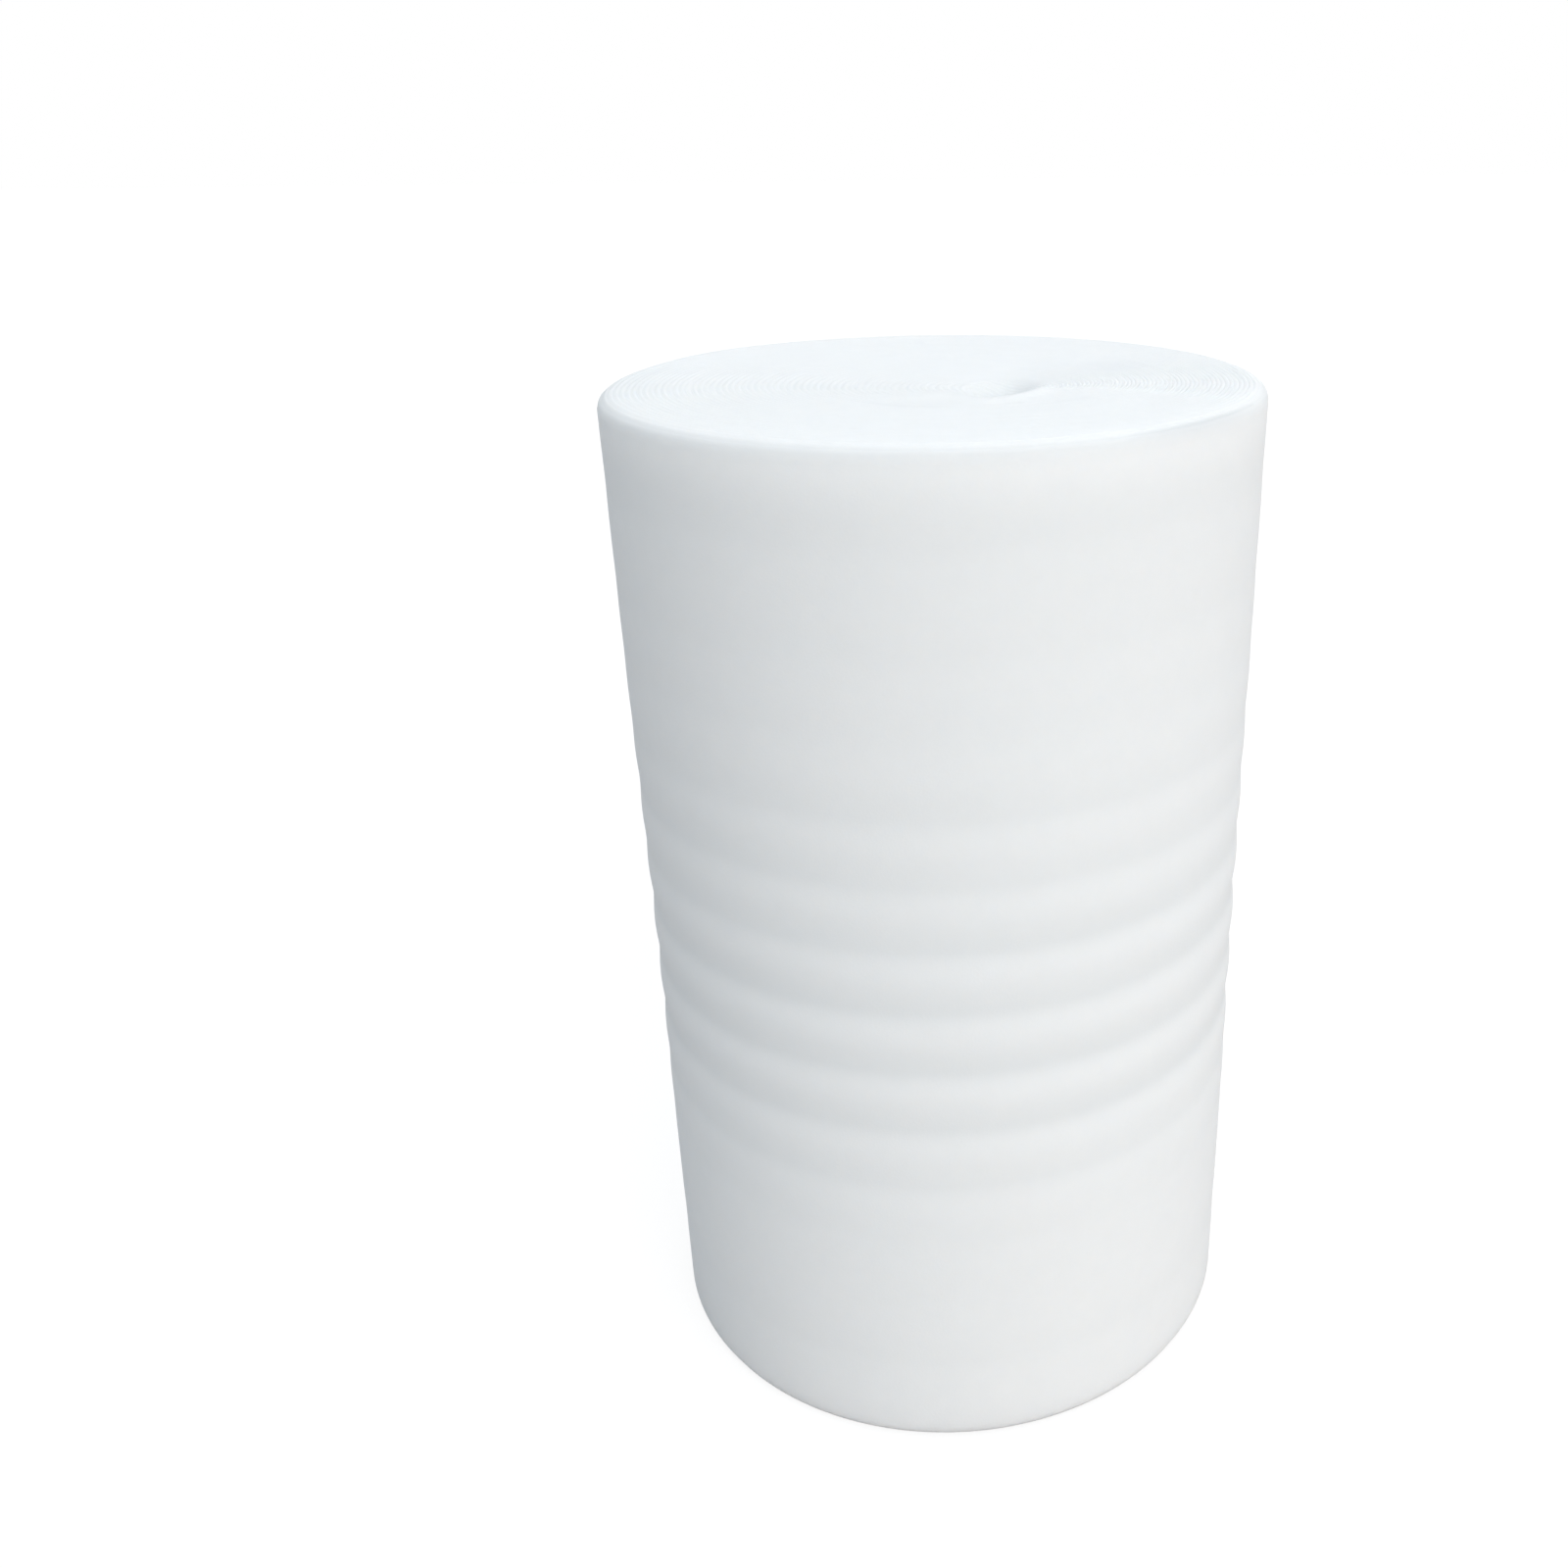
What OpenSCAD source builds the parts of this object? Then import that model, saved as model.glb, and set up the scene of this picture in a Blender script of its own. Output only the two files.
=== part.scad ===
// Coreless roll of white foam wrap, standing on one end.
// One long sheet is wound on itself, so all of its turns are one solid.
// The winding is a spiral of half circles. Each half turn has a centre of its own
// on the winding line, which runs through the eye, and meets the next half turn there.

/* [Roll] */
// Length of the roll, which is the width of the sheet
roll_h = 1000; // [800:10:1400]
// Diameter over the turns
roll_d = 612; // [500:2:800]
// Thickness of the foam sheet
sheet_t = 5; // [4:0.5:8]

/* [Rims] */
// Turns that the rounding of the upper rim takes in, where the soft edge has rolled over
top_rim_turns = 2; // [1:1:4]
// Turns that the rounding of the lower rim takes in, which the roll's weight keeps tight
foot_rim_turns = 1; // [1:1:3]

/* [Creases round the side] */
// Height of the lowest crease of the row
crease_z = 321; // [260:1:400]
// Height from one crease to the next
crease_pitch = 63; // [40:1:72]
// Number of creases in the row
crease_count = 7; // [3:1:8]
// Depth of a full crease below the bulges beside it
crease_depth = 1.4; // [0.6:0.1:3]
// Depth of the row's first and last crease
end_crease_depth = 0.6; // [0.3:0.1:3]

/* [Turn ends] */
// Width of the slot that shows between the ends of two turns
slot_w = 1.2; // [0.6:0.1:2]
// Depth of that slot below the flat of the end
slot_h = 4; // [2:0.5:6]

/* [Parted turns] */
// Widest opening of the gap near the upper rim where two turns have parted
gap_w = 4; // [2:0.5:8]
// Depth of that gap
gap_h = 14; // [6:1:30]
// Turns between the gap and the outside of the roll
gap_turns = 4; // [4:1:12]
// Direction of the gap's middle from the axis, seen from above
gap_angle = -40; // [-70:1:-20]
// Half of the angle that the gap spans
gap_spread = 22; // [10:1:30]

/* [Eye] */
// Distance of the eye from the axis of the roll
eye_offset = 88; // [40:1:120]
// Direction of the eye from the axis, seen from above
eye_angle = -45; // [-80:1:-10]
// Radius of the hollow round the eye
eye_r = 48; // [30:1:70]
// Drop from the end of one turn to the end of the next one in
eye_step = 3; // [1:0.5:4]
// Radius of the open middle of the eye
eye_hole_r = 9; // [6:1:16]
// Depth of the open middle below the lowest turn end
eye_hole_h = 24; // [10:1:60]

/* [Hidden] */
foam_colour = [0.93, 0.95, 0.95];
// Distance that a cutter stands proud of the face that it cuts
proud = 1;
roll_r = roll_d / 2;
// Whole turns in the roll, and the share of the radius that each one takes
turns = round(roll_r / sheet_t);
turn_t = roll_r / turns;
// How fast the turns come back to the axis on their way out from the eye
centring = 1.5;
// A rim's rounding ends midway between two slots
top_rim_r = tenth((top_rim_turns + 0.5) * turn_t);
foot_rim_r = tenth((foot_rim_turns + 0.5) * turn_t);
// First turn round the open middle, and last turn of the hollow
first_turn = ceil(eye_hole_r / turn_t);
last_turn = round(eye_r / turn_t);
eye_floor = -eye_step * (last_turn + 1 - first_turn);
half_pitch = crease_pitch / 2;
row_low = crease_z - half_pitch;
row_top = row_low + crease_count * crease_pitch;
$fn = 180;

// Lengths that two half turns share are kept to a tenth of a millimetre, so that they meet exactly
function tenth(length) = round(10 * length) / 10;
// How far towards the eye the sheet's centre lies after k turns
function shift(k) = eye_offset * max(0, 1 - k / turns) ^ centring;
// Place on the winding line that the sheet reaches after k turns, on the eye's side,
// and half a turn later on the far side
function near_edge(k) = tenth(k * turn_t + shift(k));
function far_edge(k) = tenth((k + 0.5) * turn_t - shift(k + 0.5));
// Radius and centre of the half circle from one such place to the other
function half_r(near, far) = (near + far) / 2;
function half_c(near, far) = (near - far) / 2;
function crease_h(i) = i == 0 || i == crease_count - 1 ? end_crease_depth : crease_depth;

// Half turn of a profile round its own centre, on one side of the winding line
module half_turn(near, far, side)
    translate([half_c(near, far), 0])
        rotate_extrude(angle = 180, start = side > 0 ? 0 : 180)
            children();

// Half disc on one side of the winding line
module half_disc(r, side)
    intersection() {
        circle(r);
        translate([-r - proud, side > 0 ? 0 : -r - proud])
            square([2 * (r + proud), r + proud]);
    }

// Side of the roll from a crease to the crown of the bulge above or below it
module bulge_flank(r, depth, up) {
    arc_r = tenth((half_pitch ^ 2 + depth ^ 2) / (2 * depth));
    intersection() {
        translate([r - arc_r, up * half_pitch])
            circle(arc_r);
        translate([0, up > 0 ? 0 : -half_pitch])
            square([r + proud, half_pitch]);
    }
}

// Rounded rim, outwards from the flat of the end; up is 1 at the top and -1 at the foot
module rim(r, rim_r, up) {
    square_z = up > 0 ? 0 : -rim_r;
    translate([0, square_z])
        square([r - rim_r, rim_r]);
    translate([r - rim_r, 0])
        intersection() {
            circle(rim_r);
            translate([0, square_z])
                square(rim_r);
        }
}

// Half section of the roll whose outside is at radius r
module section(r) {
    translate([0, foot_rim_r])
        rim(r, foot_rim_r, -1);
    translate([0, foot_rim_r])
        square([r, row_low - foot_rim_r]);
    for (i = [0:crease_count - 1])
        for (up = [-1, 1])
            translate([0, crease_z + i * crease_pitch])
                bulge_flank(r, crease_h(i), up);
    translate([0, row_top])
        square([r, roll_h - top_rim_r - row_top]);
    translate([0, roll_h - top_rim_r])
        rim(r, top_rim_r, 1);
}

// Body of the roll: its last half turn lies one sheet further out and ends in the free edge
module wound_body() {
    half_turn(near_edge(turns), far_edge(turns), 1)
        section(half_r(near_edge(turns), far_edge(turns)));
    half_turn(near_edge(turns), far_edge(turns - 1), -1)
        section(half_r(near_edge(turns), far_edge(turns - 1)));
}

// Plan of the slots between the turns, from the hollow round the eye to the free edge
module slot_plan()
    for (k = [last_turn:turns - 1])
        for (side = k < turns - 1 ? [1, -1] : [1]) {
            near = near_edge(side > 0 ? k : k + 1);
            r = half_r(near, far_edge(k));
            translate([half_c(near, far_edge(k)), 0])
                difference() {
                    half_disc(r + slot_w / 2, side);
                    circle(r - slot_w / 2);
                }
        }

// Hollow round the eye, where each turn ends one step below the next one out
module eye_hollow() {
    for (k = [first_turn:last_turn])
        for (side = [1, -1]) {
            near = near_edge(side > 0 ? k : k + 1);
            drop = eye_step * (last_turn + 1 - k);
            half_turn(near, far_edge(k), side)
                translate([0, -drop])
                    square([half_r(near, far_edge(k)), drop + proud]);
        }
    translate([eye_offset, 0, eye_floor - eye_hole_h])
        cylinder(h = eye_hole_h + proud, r = eye_hole_r);
}

// Crescent between two parted turns: what a turn leaves free of a wider circle behind it
module gap_plan() {
    k = turns - gap_turns;
    r = half_r(near_edge(k), far_edge(k));
    spare = tenth(gap_w * cos(gap_spread) / (1 - cos(gap_spread)));
    translate([half_c(near_edge(k), far_edge(k)), 0])
        difference() {
            circle(r);
            rotate(gap_angle - eye_angle)
                translate([-spare - gap_w, 0])
                    circle(r + spare);
        }
}

// What is cut from an end face at height 0 that looks up
module end_cuts() {
    translate([0, 0, -slot_h])
        linear_extrude(slot_h + proud)
            slot_plan();
    eye_hollow();
}

module foam_roll()
    color(foam_colour)
        // The step at the free edge makes the outline lopsided, so this centres it on the origin
        translate([-turn_t / 4, -turn_t / 4, 0])
            rotate([0, 0, eye_angle])
                difference() {
                    wound_body();
                    translate([0, 0, roll_h]) {
                        end_cuts();
                        translate([0, 0, -gap_h])
                            linear_extrude(gap_h + proud)
                                gap_plan();
                    }
                    mirror([0, 0, 1])
                        end_cuts();
                }

foam_roll();
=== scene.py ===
# %% [markdown]
# A roll of foam wrap
#
# The object is one long sheet of white polyethylene foam, wound on itself without a core.
# It stands on one end. Its looks come from three things: the soft creases round its waist,
# the spiral of turn ends on top with a hollow, off-centre eye, and the way that light sinks
# a little way into foam. The steps below make the skin of the roll, then its finish, then
# the floor, the lamps and the camera.

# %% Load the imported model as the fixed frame
import math

import bpy
import numpy as np
from mathutils import Euler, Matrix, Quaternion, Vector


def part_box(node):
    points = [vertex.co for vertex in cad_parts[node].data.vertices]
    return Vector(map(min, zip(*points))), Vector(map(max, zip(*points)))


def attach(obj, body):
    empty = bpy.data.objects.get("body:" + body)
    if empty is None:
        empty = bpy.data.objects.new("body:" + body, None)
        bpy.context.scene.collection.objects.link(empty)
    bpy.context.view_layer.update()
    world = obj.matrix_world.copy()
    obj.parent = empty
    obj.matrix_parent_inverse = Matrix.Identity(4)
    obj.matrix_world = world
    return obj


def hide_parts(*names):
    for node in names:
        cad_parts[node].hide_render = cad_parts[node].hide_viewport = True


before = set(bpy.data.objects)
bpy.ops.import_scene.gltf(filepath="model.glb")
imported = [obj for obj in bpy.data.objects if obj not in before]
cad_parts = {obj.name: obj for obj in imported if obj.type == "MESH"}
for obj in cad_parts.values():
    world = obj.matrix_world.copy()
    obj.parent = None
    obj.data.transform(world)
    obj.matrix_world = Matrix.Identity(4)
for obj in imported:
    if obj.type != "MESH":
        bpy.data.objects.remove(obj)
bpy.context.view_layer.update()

low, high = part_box("foam_roll")
print("frame box", [round(v, 4) for v in (*low, *high)])

# %% [markdown]
# The winding
#
# On the real roll the sheet starts in the eye and grows outwards by its own thickness with
# each turn. The eye lies to one side, because the turns crowd together there and lie
# slacker on the other side, and with no core to hold them round the inner turns have sunk
# to ovals. A spiral whose centre drifts from the eye back to the axis, and whose turns are
# stretched less and less, gives just that. One function places every point of the skin: it
# takes the turns wound so far and gives the place that the sheet's outer face has reached.

# %% Sizes of the winding
mm = 0.001
roll_height = high[2] - low[2]
roll_radius = (high[0] - low[0] + high[1] - low[1]) / 4
sheet_thickness = 5 * mm
turns = round(roll_radius / sheet_thickness)
turn_thickness = roll_radius / turns
eye_offset = 88 * mm
eye_angle = math.radians(-45)
# How fast the turns come round to the axis, and how oval the innermost ones are
centring = 1.5
oval = 0.12
first_turn = 3
last_turn = turns + 0.5
print("turns", turns, "of", round(turn_thickness / mm, 3), "mm")
print("roll radius", round(roll_radius / mm, 1), "mm")


# %% The spiral, in turns wound so far
def slackness(wound):
    """1 in the eye, falling to 0 at the outermost turns."""
    return np.maximum(0, 1 - wound / turns) ** centring


def spiral(wound, angle, push=0):
    """Place of the sheet's outer face; angle is the turn's own angle from the winding line."""
    reach = wound * turn_thickness + push
    drift = eye_offset * slackness(wound)
    stretch = 1 + oval * slackness(wound)
    x = drift * math.cos(eye_angle) + reach * stretch * np.cos(angle + eye_angle)
    y = drift * math.sin(eye_angle) + reach / stretch * np.sin(angle + eye_angle)
    # The step at the free edge makes the outline lopsided, so this centres it
    return x - turn_thickness / 4, y - turn_thickness / 4


# %% [markdown]
# Soft unevenness
#
# Foam is never quite true: the side swells and sinks by a millimetre or so, and the turn
# ends stand a little higher or lower than their neighbours. A sum of a few slow waves
# whose directions come from a seeded generator gives that, and it closes on itself round
# the roll because the waves read the sine and cosine of the angle.

# %% Slow waves round the roll
def waves(seed, count, angle, level, round_waves, level_waves):
    """A sum of slow waves, about 1 high; the last two values say how fast they change."""
    rng = np.random.default_rng(seed)
    total = np.zeros(np.broadcast(angle, level).shape)
    for _ in range(count):
        a, b = rng.uniform(-round_waves, round_waves, 2)
        c = rng.uniform(-level_waves, level_waves)
        phase = rng.uniform(0, 2 * math.pi)
        total += np.cos(a * np.cos(angle) + b * np.sin(angle) + c * level + phase)
    return total / math.sqrt(count)


def smooth_step(value):
    t = np.clip(value, 0, 1)
    return t * t * (3 - 2 * t)


# %% [markdown]
# The ends of the roll
#
# An end is the sheet's cut edge, wound up. Seen close, each turn is a narrow cushion with
# a groove on either side. The outer turns have rolled over and give the end a soft rim,
# the turns round the eye have sunk into a hollow, and at three places two turns have
# parted. Each of these is a height or a push that depends on where a point lies in
# the winding, so each has a short function.

# %% Sizes of the rims and the turn ends
segments = 180
top_rim = 12.5 * mm
foot_rim = 7.5 * mm
rim_widening = 1.35
# Painted shade on the rounded upper rim, and the drop below the flat where it is darkest
rim_painted_shade = 0.62
darkest_rim_drop = 6.5 * mm
tail_blend = math.radians(30)
groove_depth = 0.9 * mm
cushion_drop = 0.25 * mm
groove_shade = 0.12
flank_share = 0.3
# Height of the slow waves that cross the turns, and of those from one turn to the next
end_swell = 0.5 * mm
turn_swell = 0.15 * mm

# %% Sizes of the eye
eye_place = (58 * mm, -55 * mm)
eye_long = 60 * mm
eye_short = 34 * mm
eye_turn = math.radians(67)
eye_wall = 0.9
eye_depth = 14 * mm
# The lip's place and width, and the reach of the hollow's shade, are shares of the oval's size
lip_height = 2 * mm
lip_side = math.radians(-50)
lip_place = 1.15
lip_width = 0.22
hollow_shade = 0.36
shade_reach = 1.3
shade_fade = 0.65
shade_left_off_lip = 0.3

# %% Partings between turn ends
# How many turns away a parting's push, its raised side, its sunk side and its soft shade fade
push_reach = 7
raised_reach = 2
sunk_reach = 3
soft_reach = 1.2
# Shades of a parting's groove, of the points beside it on the eye's side, and round it
line_shade = 0.45
beside_shade = 0.2
soft_shade = 0.06
beside_place = -0.25
# Points this close to a line, in turns, lie on it
on_line = 0.01


def parting(turn, middle, spread, width, depth, lift):
    """A parting between two turn ends.

    Its place is a number of turns and a direction in degrees, seen from above, and spread is half
    the angle that it spans. It opens by width, is depth deep, and its outer side stands up by lift.
    """
    middle, spread = math.radians(middle), math.radians(spread)
    width, depth, lift = width * mm, depth * mm, lift * mm
    return dict(turn=turn, middle=middle, spread=spread, width=width, depth=depth, lift=lift)


by_the_rim = parting(turns - 1, -44, 20, width=2, depth=4, lift=1)
by_the_lip = parting(27, -52, 18, width=1.5, depth=5, lift=1)
front_streak = parting(25, -118, 30, width=0.3, depth=1.2, lift=0.8)
partings = [by_the_rim, by_the_lip, front_streak]
print(len(partings), "partings between turn ends")


# %% Soft dents of the upper end
def dent(x, y, wide, deep, sink, shade):
    """Place of a shallow dent, its half sizes, how far it sinks in and how much painted shade
    darkens it.
    """
    return dict(x=x * mm, y=y * mm, wide=wide * mm, deep=deep * mm, sink=sink * mm, shade=shade)


right_of_eye = dent(170, 60, 32, 40, 1.5, 0.2)
behind_eye = dent(82, 12, 40, 60, 4, 0.09)
left_of_eye = dent(-100, -38, 48, 18, 1, 0.14)
before_eye = dent(-16, -130, 45, 20, 1, 0.12)
left_end = dent(-288, -20, 32, 110, 1, 0.24)
right_end = dent(290, -30, 25, 90, 1, 0.16)
dents = [right_of_eye, behind_eye, left_of_eye, before_eye, left_end, right_end]


def in_dents(x, y, what):
    total = 0
    for hollow in dents:
        away = ((x - hollow["x"]) / hollow["wide"]) ** 2 + ((y - hollow["y"]) / hollow["deep"]) ** 2
        total = total + hollow[what] * np.exp(-away)
    return total


# %% Heights and pushes of the ends
def rim_drop(inset, rim):
    """The rim rounds down by its own height over a slightly wider band."""
    inset = inset / rim_widening
    return rim - np.sqrt(np.maximum(rim ** 2 - np.maximum(rim - inset, 0) ** 2, 0))


def rim_shade(drop):
    """Painted shade on the upper rim, most of all at the darkest rim drop below the flat."""
    share = drop / darkest_rim_drop
    return rim_painted_shade * (share * np.exp(1 - share)) ** 2


def inset_from_side(wound, angle):
    """How far a point lies inside the roll's outside, eased where the free edge makes a step."""
    past_tail = (angle - math.pi) % (2 * math.pi)
    outside = turns - 0.5 + past_tail / (2 * math.pi)
    outside += 1 - smooth_step(past_tail / tail_blend)
    return np.maximum(outside - wound, 0) * turn_thickness


def from_eye(x, y):
    """Distance from the middle of the oval eye, 1 at the top of its wall."""
    dx, dy = x - eye_place[0], y - eye_place[1]
    along = dx * math.cos(eye_turn) + dy * math.sin(eye_turn)
    across = dy * math.cos(eye_turn) - dx * math.sin(eye_turn)
    return np.hypot(along / eye_long, across / eye_short)


def eye_hollow(x, y):
    return eye_depth * smooth_step((1 - from_eye(x, y)) / eye_wall)


def towards_lip(x, y):
    """1 on the side of the eye where the lip stands, 0 beside and behind the eye."""
    dx, dy = x - eye_place[0], y - eye_place[1]
    distance = np.maximum(np.hypot(dx, dy), mm)
    return np.clip((dx * math.cos(lip_side) + dy * math.sin(lip_side)) / distance, 0, 1)


def eye_lip(x, y):
    ridge = np.exp(-((from_eye(x, y) - lip_place) / lip_width) ** 2)
    return lip_height * ridge * towards_lip(x, y)


def turned_from(angle, middle):
    """Angle from a direction seen from above to a point, between minus and plus half a turn."""
    return (angle + eye_angle - middle + math.pi) % (2 * math.pi) - math.pi


def openness(angle, gap):
    """1 in the middle of a parting and 0 at its two tips."""
    return np.cos(np.clip(turned_from(angle, gap["middle"]) / gap["spread"], -1, 1) * math.pi / 2)


def turns_beyond(wound, angle, gap):
    """Turns from a parting's groove to a point, negative on the eye's side of it."""
    round_roll = (turned_from(angle, gap["middle"]) + gap["middle"] - eye_angle) / (2 * math.pi)
    return wound - round_roll - gap["turn"]


def parting_push(wound, angle):
    """The turns on the eye's side are pressed in, and the groove lies midway in the opening."""
    push = 0
    for gap in partings:
        beyond = turns_beyond(wound, angle, gap)
        pressed = np.clip(1 + beyond / push_reach, 0, 1) * (beyond < -on_line)
        pressed = pressed + 0.5 * (np.abs(beyond) < on_line)
        push = push - gap["width"] * openness(angle, gap) * pressed
    return push


def parting_height(wound, angle):
    """The outer side stands up, the inner side sinks half as much, and the groove goes down."""
    height = 0
    for gap in partings:
        beyond = turns_beyond(wound, angle, gap)
        outer = gap["lift"] * np.exp(-np.maximum(beyond, 0) / raised_reach)
        inner = -gap["lift"] / 2 * np.exp(np.minimum(beyond, 0) / sunk_reach)
        shape = np.where(beyond > on_line, outer, inner)
        shape = np.where(np.abs(beyond) <= on_line, -gap["depth"], shape)
        height = height + shape * openness(angle, gap)
    return height


def parting_shade(wound, angle):
    shade = 0
    for gap in partings:
        beyond = turns_beyond(wound, angle, gap)
        line = line_shade * (np.abs(beyond) < on_line)
        line = line + beside_shade * (np.abs(beyond - beside_place) < on_line)
        soft = soft_shade * np.exp(-(beyond / soft_reach) ** 2)
        shade = shade + openness(angle, gap) * (line + soft)
    return shade


def part_of_turn(across):
    """Whether a point is in a groove, and whether it is off the middle of a turn's cushion.

    It tells the grids' rows apart: across is 0 in the inner groove, 1 in the outer one.
    """
    off_middle = np.abs(2 * across - 1)
    return off_middle > 0.9, off_middle > 0.4


def end_height(wound, angle, across, top):
    """Height above the flat of the end."""
    inset = inset_from_side(wound, angle)
    in_groove, off_middle = part_of_turn(across)
    groove = groove_depth * smooth_step(2 * inset / turn_thickness)
    x, y = spiral(wound, angle)
    height = -rim_drop(inset, top_rim if top else foot_rim)
    height = height - np.where(in_groove, groove, cushion_drop * off_middle)
    height = height - eye_hollow(x, y)
    if top:
        height = height + eye_lip(x, y) - in_dents(x, y, "sink") + parting_height(wound, angle)
        height = height + end_swell * waves(10, 9, angle, wound, round_waves=2.5, level_waves=0.3)
        height = height + turn_swell * waves(11, 9, angle, wound, round_waves=5, level_waves=2.2)
    return height


def shade_of_end(wound, angle, across, top):
    """How little light reaches a point of an end: 0 on a cushion, more in grooves and hollows."""
    inset = inset_from_side(wound, angle)
    in_groove, off_middle = part_of_turn(across)
    sunk = np.where(in_groove, 1, flank_share * off_middle)
    sunk = sunk * smooth_step(2 * inset / turn_thickness)
    x, y = spiral(wound, angle)
    within = shade_reach - from_eye(x, y) - shade_left_off_lip * towards_lip(x, y)
    shade = groove_shade * sunk + hollow_shade * smooth_step(within / shade_fade)
    if top:
        shade = shade + in_dents(x, y, "shade") + parting_shade(wound, angle)
        shade = shade + rim_shade(rim_drop(inset, top_rim))
    return np.minimum(shade, 1)


# %% [markdown]
# The side of the roll
#
# Round the waist the outer turns have buckled into a row of soft bulges with a crease
# between each two. The row sits at even steps, deepest in the middle, and the creases
# wander a little, as they do where a soft sheet gives under its own weight. A bulge turns
# in towards the crease below it, where less light reaches it, so a shade that grows down
# to the crease goes with the shape. A few much fainter creases cross the rest of the side.

# %% Sizes of the creases
crease_low = 316 * mm
crease_pitch = 63 * mm
crease_depth = 2.7 * mm
crease_softness = 0.42
crease_wander = 2.5 * mm
crease_variation = 0.2
row_strengths = [0.45, 0.95, 1, 0.95, 0.85, 0.7, 0.4]
faint_heights = [99 * mm, 253 * mm, 768 * mm, 836 * mm, 927 * mm]
faint_strength = 0.16
row_heights = [crease_low + step * crease_pitch for step in range(len(row_strengths))]
creases = list(zip(row_heights, row_strengths))
creases += [(height, faint_strength) for height in faint_heights]
lowest, highest = min(creases)[0], max(creases)[0]
print(len(creases), "creases from", round(lowest, 3), "to", round(highest, 3), "m")

# %% Swell and painted shade of the side
side_swell = 0.5 * mm
# Painted shade over the side, fading out towards the top over the glow depth
side_painted_shade = 0.2
glow_depth = 50 * mm
# A crease's shade, and how far it reaches up and down, in half pitches
crease_shade = 0.25
reach_above = 1.3
fade_above = 1.7
reach_below = 0.32


# %% Push and shade of the side
def crease_places(angle, z):
    """For each crease, the height above it in half pitches and its strength there."""
    wander = crease_wander * waves(32, 6, angle, z, round_waves=2.5, level_waves=5)
    for seed, (height, strength) in enumerate(creases, 40):
        above = (z + wander - height) / (crease_pitch / 2)
        slow = waves(seed, 4, angle, 0, round_waves=2.5, level_waves=0)
        yield above, strength * (1 + crease_variation * slow)


def side_push(angle, z):
    """How far the side stands out: slow swells, and in at each crease."""
    push = side_swell * waves(31, 9, angle, z, round_waves=2.2, level_waves=9)
    for above, strength in crease_places(angle, z):
        rounded = np.sqrt(above ** 2 + crease_softness ** 2) - crease_softness
        push = push - crease_depth * strength * np.maximum(1 - rounded, 0) ** 2
    return push


def side_shade(angle, z):
    """Painted shade: darkest in the creases and on the rim; the uppermost part is lightest, with
    light from the turn ends.
    """
    drop = roll_height - z
    shade = side_painted_shade * smooth_step((drop - top_rim) / glow_depth) + rim_shade(drop)
    for above, strength in crease_places(angle, z):
        upwards = np.maximum(1 - above / reach_above, 0) ** fade_above
        downwards = np.exp(-(above / reach_below) ** 2)
        shade = shade + crease_shade * strength * np.where(above > 0, upwards, downwards)
    return shade


# %% [markdown]
# Flat grids, then winding
#
# A roll's skin could be carved from a cylinder, but its pattern is the sheet's own. So the
# sheet is laid out first, as a maker would see it: its upper edge and its lower edge are
# long narrow grids, its last turn is a tall grid, and its free end is a small one. Each is
# a grid primitive whose columns and rows are then wound into place, and merging the
# points that meet makes one closed skin.

# %% Lay out a flat grid and wind it
def flat_grid(name, columns, rows):
    bpy.ops.object.select_all(action="DESELECT")
    bpy.ops.mesh.primitive_grid_add(x_subdivisions=columns, y_subdivisions=rows, size=1)
    grid = bpy.context.active_object
    grid.name = name
    return grid


def wind(grid, place):
    """Moves each point of a flat grid to place(along, across) and stores its shade."""
    points = np.empty(len(grid.data.vertices) * 3)
    grid.data.vertices.foreach_get("co", points)
    points = points.reshape(-1, 3)
    # A grid of size 1 reaches half a unit either way, so both shares run from 0 to 1
    along, across = points[:, 0] + 0.5, points[:, 1] + 0.5
    points[:, 0], points[:, 1], points[:, 2], shade = place(along, across)
    grid.data.vertices.foreach_set("co", points.ravel())
    grid.data.attributes.new("shade", "FLOAT", "POINT").data.foreach_set("value", shade)
    grid.data.update()


# %% Places on the two cut edges
edge_columns = round((last_turn - first_turn) * segments)
upper_rows = 4
lower_rows = 2
side_rows = 180
# Rows of the side and their heights as shares, closer together at the rims and the creases
row_knots = [0, 6, 32, 148, 174, side_rows]
height_knots = [0, 0.03, 0.27, 0.74, 0.97, 1]
# The side's swell has faded this many turns in
swell_turns = 3
# Share of the height, at each end of the side, where its swell becomes that of the end
end_share = 0.02


def outer_share(wound):
    """1 at the outermost turn, falling to 0 where the side's swell has faded."""
    return smooth_step(1 - (last_turn - wound) / swell_turns)


def edge_place(along, across, top):
    """Place on the upper or lower edge: across runs over the sheet's thickness."""
    column = np.round((first_turn + along * (last_turn - first_turn)) * segments)
    angle = column / segments * 2 * math.pi
    wound = column / segments - 1 + across
    height = end_height(wound, angle, across, top)
    push = side_push(angle + eye_angle, roll_height if top else 0) * outer_share(wound)
    if top:
        push = push + parting_push(wound, angle)
    x, y = spiral(wound, angle, push)
    z = roll_height + height if top else -height
    return x, y, z, shade_of_end(wound, angle, across, top)


# %% Places on the outer wrap and the free end
def side_place(wound, angle, share, across):
    """Place on the sheet's outer face: share runs from 0 at the foot to 1 at the top."""
    foot = -end_height(wound, angle, across, False)
    head = roll_height + end_height(wound, angle, across, True)
    z = foot + share * (head - foot)
    at_end = smooth_step(1 - np.minimum(share, 1 - share) / end_share)
    level = z + at_end * (np.round(share) * roll_height - z)
    x, y = spiral(wound, angle, side_push(angle + eye_angle, level) * outer_share(wound))
    return x, y, z, side_shade(angle + eye_angle, z)


def row_share(across):
    return np.interp(np.round(across * side_rows), row_knots, height_knots)


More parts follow.
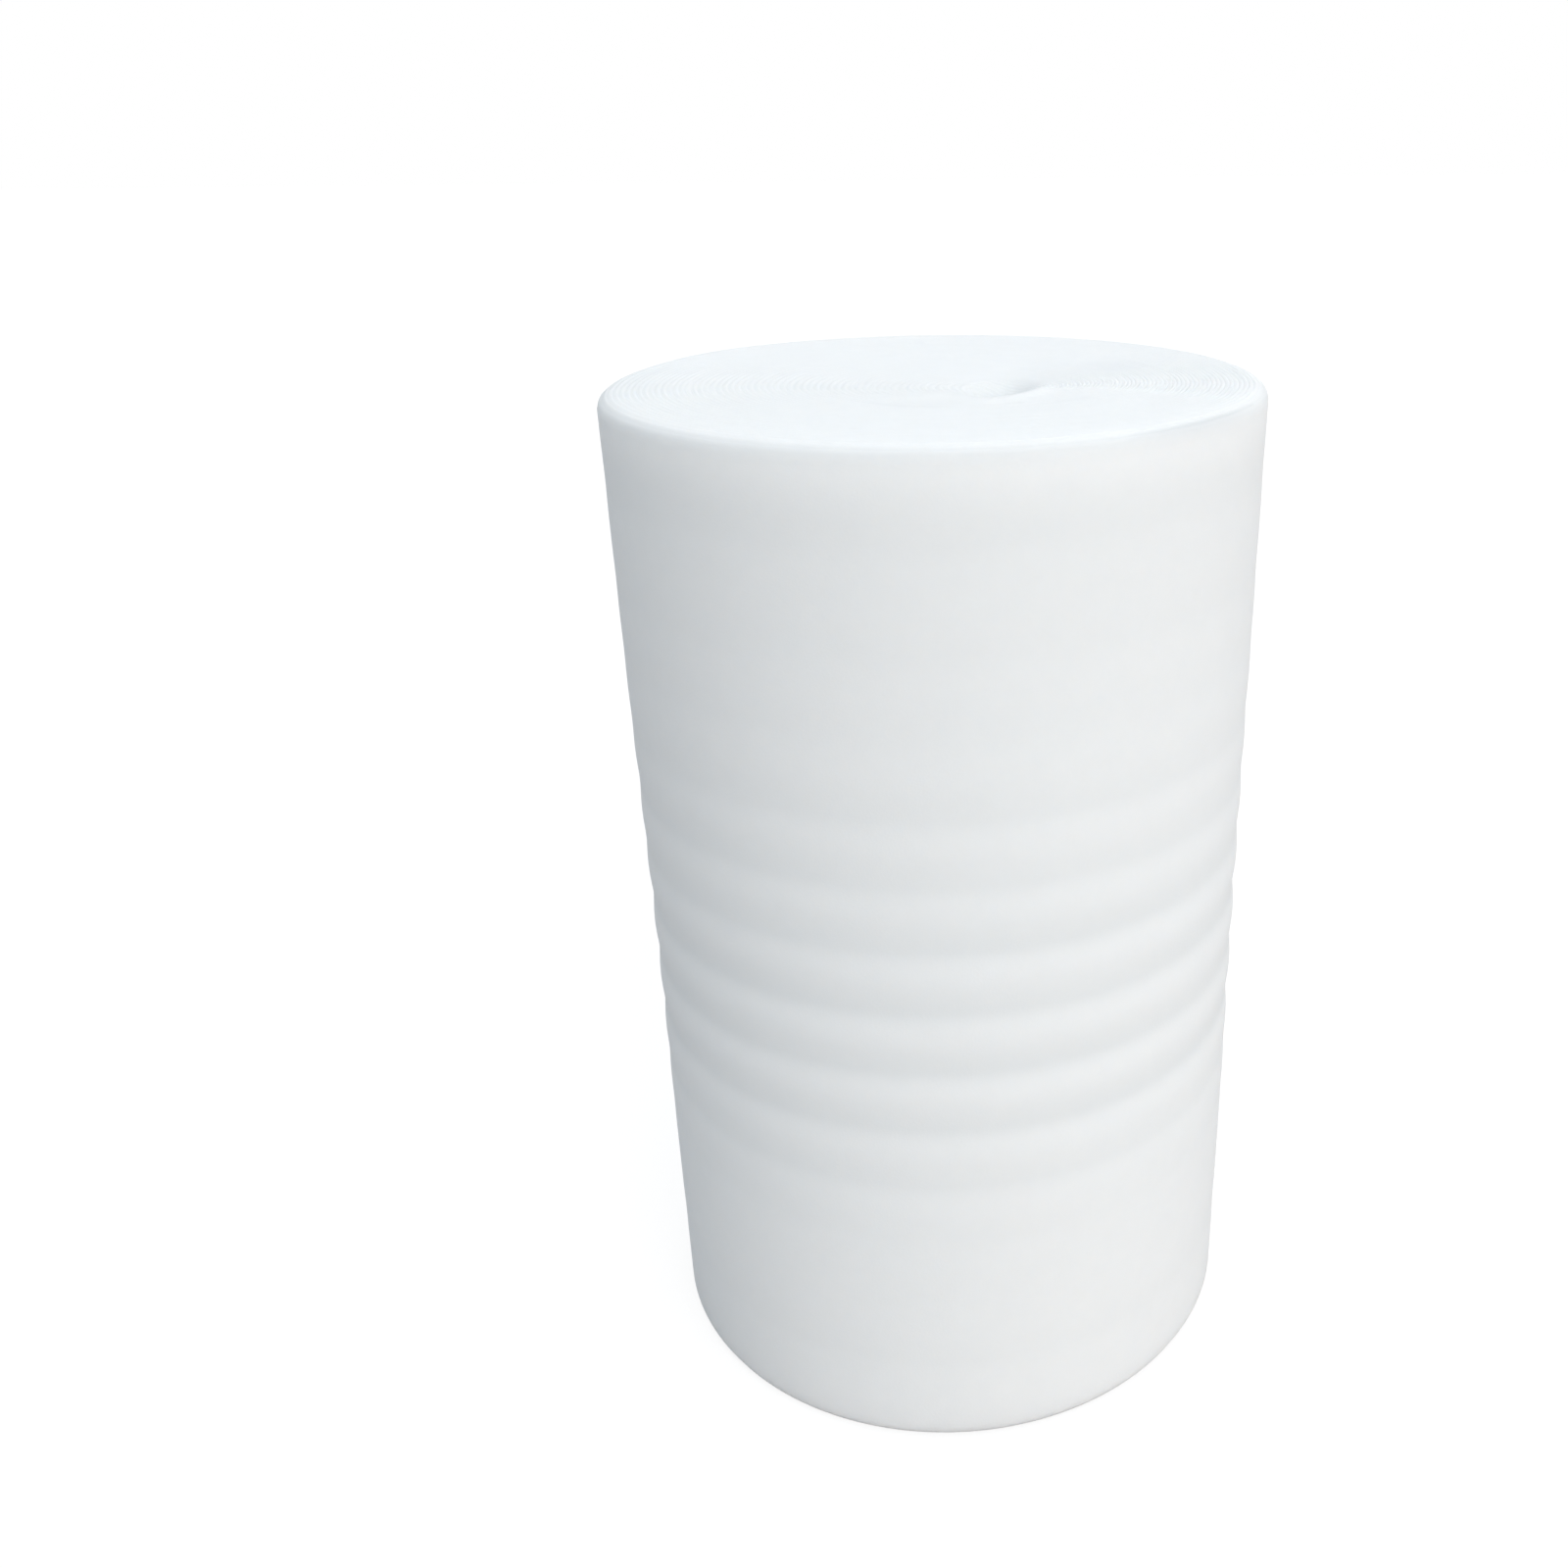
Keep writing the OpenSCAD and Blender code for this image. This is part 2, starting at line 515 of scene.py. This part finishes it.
def wrap_place(along, across):
    wound = np.round((last_turn - 1 + along) * segments) / segments
    share = row_share(across)
    return side_place(wound, wound * 2 * math.pi, share, np.ones_like(share))


def tail_place(along, across):
    share = row_share(across)
    # The lower edge has no points at the quarters of its thickness, so those meet its middle
    at_foot = (share == 0) & (np.abs(along - 0.5) < 0.4)
    along = np.where(at_foot, 0.5, along)
    angle = np.full_like(share, last_turn * 2 * math.pi)
    return side_place(last_turn - 1 + along, angle, share, along)


# %% Wind the skin
upper_edge = flat_grid("upper_edge", edge_columns, upper_rows)
wind(upper_edge, lambda along, across: edge_place(along, across, True))
lower_edge = flat_grid("lower_edge", edge_columns, lower_rows)
wind(lower_edge, lambda along, across: edge_place(along, across, False))
free_end = flat_grid("free_end", upper_rows, side_rows)
wind(free_end, tail_place)
foam_roll = flat_grid("foam_wrap_roll", segments, side_rows)
wind(foam_roll, wrap_place)
grids = [upper_edge, lower_edge, free_end, foam_roll]
for grid in grids:
    print(grid.name, len(grid.data.vertices), "points", len(grid.data.polygons), "faces")

# %% [markdown]
# One closed skin
#
# The grids only touch so far. Joined and merged by distance, each turn's groove becomes one
# line of points that it shares with its neighbour, and the wrap is sewn to both edges. What
# is still open is the middle of the eye at either end. The winding starts there round a
# narrow bore, so the open loop is drawn down into the roll and gathered to a point.

# %% Sew the grids together
sewing_distance = 0.02 * mm
bpy.ops.object.select_all(action="DESELECT")
for grid in grids:
    grid.select_set(True)
bpy.context.view_layer.objects.active = foam_roll
bpy.ops.object.join()
bpy.ops.object.mode_set(mode="EDIT")
bpy.ops.mesh.select_mode(type="VERT")
bpy.ops.mesh.select_all(action="SELECT")
bpy.ops.mesh.remove_doubles(threshold=sewing_distance)
bpy.ops.object.mode_set(mode="OBJECT")
print("points once sewn", len(foam_roll.data.vertices))


# %% Close the bore of the eye at both ends
bore_depth = 26 * mm
tip_depth = bore_depth / 6


def select_open_loop(top):
    """Selects the open edges round the eye at one end; leaves edit mode on."""
    bpy.ops.object.mode_set(mode="EDIT")
    bpy.ops.mesh.select_mode(type="EDGE")
    bpy.ops.mesh.select_all(action="DESELECT")
    bpy.ops.mesh.select_non_manifold(
        extend=False,
        use_wire=False,
        use_boundary=True,
        use_multi_face=False,
        use_non_contiguous=False,
        use_verts=False,
    )
    bpy.ops.object.mode_set(mode="OBJECT")
    points = foam_roll.data.vertices
    for edge in foam_roll.data.edges:
        if edge.select and (points[edge.vertices[0]].co.z > roll_height / 2) != top:
            edge.select = False
    for point in points:
        point.select = False
    for edge in foam_roll.data.edges:
        if edge.select:
            for corner in edge.vertices:
                points[corner].select = True
    open_edges = sum(edge.select for edge in foam_roll.data.edges)
    print("open edges at the", "top" if top else "foot", open_edges)
    bpy.ops.object.mode_set(mode="EDIT")


for top in (True, False):
    select_open_loop(top)
    for depth in (bore_depth, tip_depth):
        inwards = (0, 0, -depth if top else depth)
        bpy.ops.mesh.extrude_region_move(TRANSFORM_OT_translate={"value": inwards})
    bpy.ops.mesh.merge(type="CENTER")
    bpy.ops.object.mode_set(mode="OBJECT")

# %% Point the faces outwards and smooth them
sharp_edge = math.radians(55)
bpy.ops.object.mode_set(mode="EDIT")
bpy.ops.mesh.select_all(action="SELECT")
bpy.ops.mesh.normals_make_consistent(inside=False)
bpy.ops.mesh.select_all(action="DESELECT")
bpy.ops.object.mode_set(mode="OBJECT")
bpy.ops.object.shade_smooth_by_angle(angle=sharp_edge)
triangles = sum(len(face.vertices) - 2 for face in foam_roll.data.polygons)
print("triangles", triangles)

# %% [markdown]
# The foam
#
# Foam wrap is white polyethylene blown full of tiny closed cells. Light wanders a few
# centimetres through it before it comes back, which fills the creases and makes the turn
# ends glow, so the shader scatters light under the surface. The skin has a fine grain of cells,
# a slow change of tone from cool to warm, and painted shade from the points' shade, which
# darkens and roughens it in the grooves, creases, hollows and partings and on the rim. A
# small class lets the shader's sums be written as Python sums.


# %% Shader sums as Python sums
class Value:
    """A number that changes over the surface, carried by a socket of a node tree."""

    def __init__(self, tree, socket):
        self.tree = tree
        self.socket = socket

    def sum_with(self, operation, first, second):
        node = self.tree.nodes.new("ShaderNodeMath")
        node.operation = operation
        for slot, part in zip(node.inputs, (first, second)):
            if isinstance(part, Value):
                self.tree.links.new(part.socket, slot)
            else:
                slot.default_value = part
        return Value(self.tree, node.outputs[0])

    def __add__(self, other):
        return self.sum_with("ADD", self, other)

    def __radd__(self, other):
        return self.sum_with("ADD", other, self)

    def __mul__(self, other):
        return self.sum_with("MULTIPLY", self, other)


class Finish:
    """The node tree of a material or a world, under construction."""

    def __init__(self, owner):
        owner.use_nodes = True
        self.owner = owner
        self.tree = owner.node_tree
        self.tree.nodes.clear()

    def add(self, kind, settings=None, output=None, in_order=(), **parts):
        """Adds a node with its settings and fills its sockets, in order or by name.

        What comes back is the named output, or else the first one.
        """
        node = self.tree.nodes.new(kind)
        for name, setting in (settings or {}).items():
            setattr(node, name, setting)
        slots = [s for s in node.inputs if s.enabled]
        filled = list(zip(slots, in_order))
        for name, part in parts.items():
            filled.append((next(s for s in slots if s.name.replace(" ", "_") == name), part))
        for slot, part in filled:
            if isinstance(part, Value):
                self.tree.links.new(part.socket, slot)
            else:
                slot.default_value = part
        outputs = [s for s in node.outputs if s.enabled and output in (None, s.name)]
        return Value(self.tree, outputs[0]) if outputs else None

    def to_viewer(self):
        """1 on a ray that the camera sees, also by a mirror or through glass, and 0 on the rest."""
        seen = self.add("ShaderNodeLightPath", output="Is Camera Ray")
        mirrored = self.add("ShaderNodeLightPath", output="Is Glossy Ray")
        through = self.add("ShaderNodeLightPath", output="Is Transmission Ray")
        return seen + mirrored + through


# %% Mix the foam
cool_white = (0.895, 0.935, 0.955, 1)
warm_white = (0.915, 0.93, 0.93, 1)
# A grey that the random mottle mixes towards, and the shade attribute too, as painted shade
shade_and_mottle_grey = (0.70, 0.735, 0.75, 1)
mottle_share = 0.16

foam = Finish(bpy.data.materials.new("white_foam"))
place = foam.add("ShaderNodeTexCoord", output="Object")
shade = foam.add("ShaderNodeAttribute", {"attribute_name": "shade"}, output="Fac")
tone = foam.add("ShaderNodeTexNoise", Vector=place, Scale=2.5, Detail=3.0, Roughness=0.5)
mottle = foam.add("ShaderNodeTexNoise", Vector=place, Scale=45.0, Detail=4.0, Roughness=0.6)
cells = foam.add("ShaderNodeTexVoronoi", Vector=place, Scale=420.0, Randomness=1.0)
blend = {"data_type": "RGBA"}
skin = foam.add("ShaderNodeMix", blend, Factor=tone, A=cool_white, B=warm_white)
mottled = foam.add("ShaderNodeMix", blend, Factor=mottle * mottle_share, A=skin, B=shade_and_mottle_grey)
# The shade attribute darkens the colour: painted shade in grooves, creases, hollows, partings,
# dents and on the rim
shaded = foam.add("ShaderNodeMix", blend, Factor=shade, A=mottled, B=shade_and_mottle_grey)
grain = foam.add("ShaderNodeBump", Height=cells * 0.6 + mottle * 0.8, Strength=0.12, Distance=0.001)
shader = foam.add(
    "ShaderNodeBsdfPrincipled",
    Base_Color=shaded,
    Roughness=0.58 + mottle * 0.12 + shade * 0.1,
    Normal=grain,
    Specular_IOR_Level=0.08,
    Subsurface_Weight=0.75,
    Subsurface_Radius=(1.0, 0.95, 0.9),
    Subsurface_Scale=0.03,
)
foam.add("ShaderNodeOutputMaterial", Surface=shader)
foam_roll.data.materials.clear()
foam_roll.data.materials.append(foam.owner)
print("foam nodes", len(foam.tree.nodes))

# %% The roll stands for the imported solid
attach(foam_roll, "root")
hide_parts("foam_roll")

# %% [markdown]
# Floor and light
#
# The photograph is a product view on pure white. The floor is a wide plain sheet whose
# colour carries the shadow, with a share of plain white seen by the camera, and the world
# behind it is white to the camera too. A soft lamp high above, a lower one from the front
# right and the even sky do the lighting, so the left of the roll falls into a cool grey.

# %% Lay the floor
bpy.ops.object.select_all(action="DESELECT")
bpy.ops.mesh.primitive_plane_add(size=60, location=(0, 0, 0))
floor = bpy.context.active_object
floor.name = "floor"
floor_paper = Finish(bpy.data.materials.new("floor_paper"))
paper = floor_paper.add("ShaderNodeBsdfDiffuse", Color=(0.58, 0.56, 0.545, 1))
shadow_paper = floor_paper.add("ShaderNodeBsdfDiffuse", Color=(0.25, 0.25, 0.25, 1))
white = floor_paper.add("ShaderNodeEmission", Color=(1, 1, 1, 1), Strength=0.8)
shown_paper = floor_paper.add("ShaderNodeAddShader", in_order=(shadow_paper, white))
either = (floor_paper.to_viewer(), paper, shown_paper)
mixed_paper = floor_paper.add("ShaderNodeMixShader", in_order=either)
floor_paper.add("ShaderNodeOutputMaterial", in_order=(mixed_paper,))
floor.data.materials.append(floor_paper.owner)
print("floor", round(floor.dimensions.x), "m wide")

# %% Light the sky
sky_strength = 0.505
sky = Finish(bpy.data.worlds.new("studio"))
bpy.context.scene.world = sky.owner
even_light = sky.add("ShaderNodeBackground", Color=(0.84, 0.92, 1, 1), Strength=sky_strength)
backdrop = sky.add("ShaderNodeBackground", Color=(1, 1, 1, 1), Strength=1.0)
either = (sky.to_viewer(), even_light, backdrop)
mixed_sky = sky.add("ShaderNodeMixShader", in_order=either)
sky.add("ShaderNodeOutputWorld", in_order=(mixed_sky,))
print("sky strength", sky_strength)

# %% Hang the two lamps
def soft_lamp(name, right, above, strength, colour, softness):
    """A far lamp, at some degrees right of the camera and above the floor.

    A strength of 1 would light a white sheet that faces it fully; softness is its width in degrees.
    """
    turned = (math.radians(90 - above), 0, math.radians(right))
    bpy.ops.object.light_add(type="SUN", rotation=turned)
    lamp = bpy.context.active_object
    lamp.name = name
    lamp.data.energy = strength * math.pi
    lamp.data.color = colour
    lamp.data.angle = math.radians(softness)
    print(name, round(lamp.data.energy, 2), "W/m2")


soft_lamp("top_lamp", right=180, above=80, strength=0.355, colour=(0.98, 0.98, 0.97), softness=60)
soft_lamp("side_lamp", right=31, above=22, strength=0.525, colour=(1, 0.93, 0.875), softness=50)

# %% [markdown]
# The camera
#
# The photograph looks down on the roll at a little under 25 degrees from close by, which
# widens the top and narrows the foot. The camera was worked out from the outline of the
# top rim, the two sides and the lowest point of the foot.

# %% Place the camera
tilt, pan, roll_over = 0.4244, 0.0276, -0.0089
bpy.ops.object.camera_add(location=(0, -1.4095, 1.2236))
camera = bpy.context.active_object
camera.name = "camera"
camera.rotation_mode = "QUATERNION"
looking = Euler((math.pi / 2 - tilt, 0, -pan)).to_quaternion()
camera.rotation_quaternion = looking @ Quaternion((0, 0, 1), roll_over)
camera.data.sensor_width = 36
camera.data.lens = 34.15
camera.data.shift_x = -0.125
bpy.context.scene.camera = camera
bpy.context.scene.view_settings.view_transform = "Standard"

# %% Update the scene
bpy.context.view_layer.update()
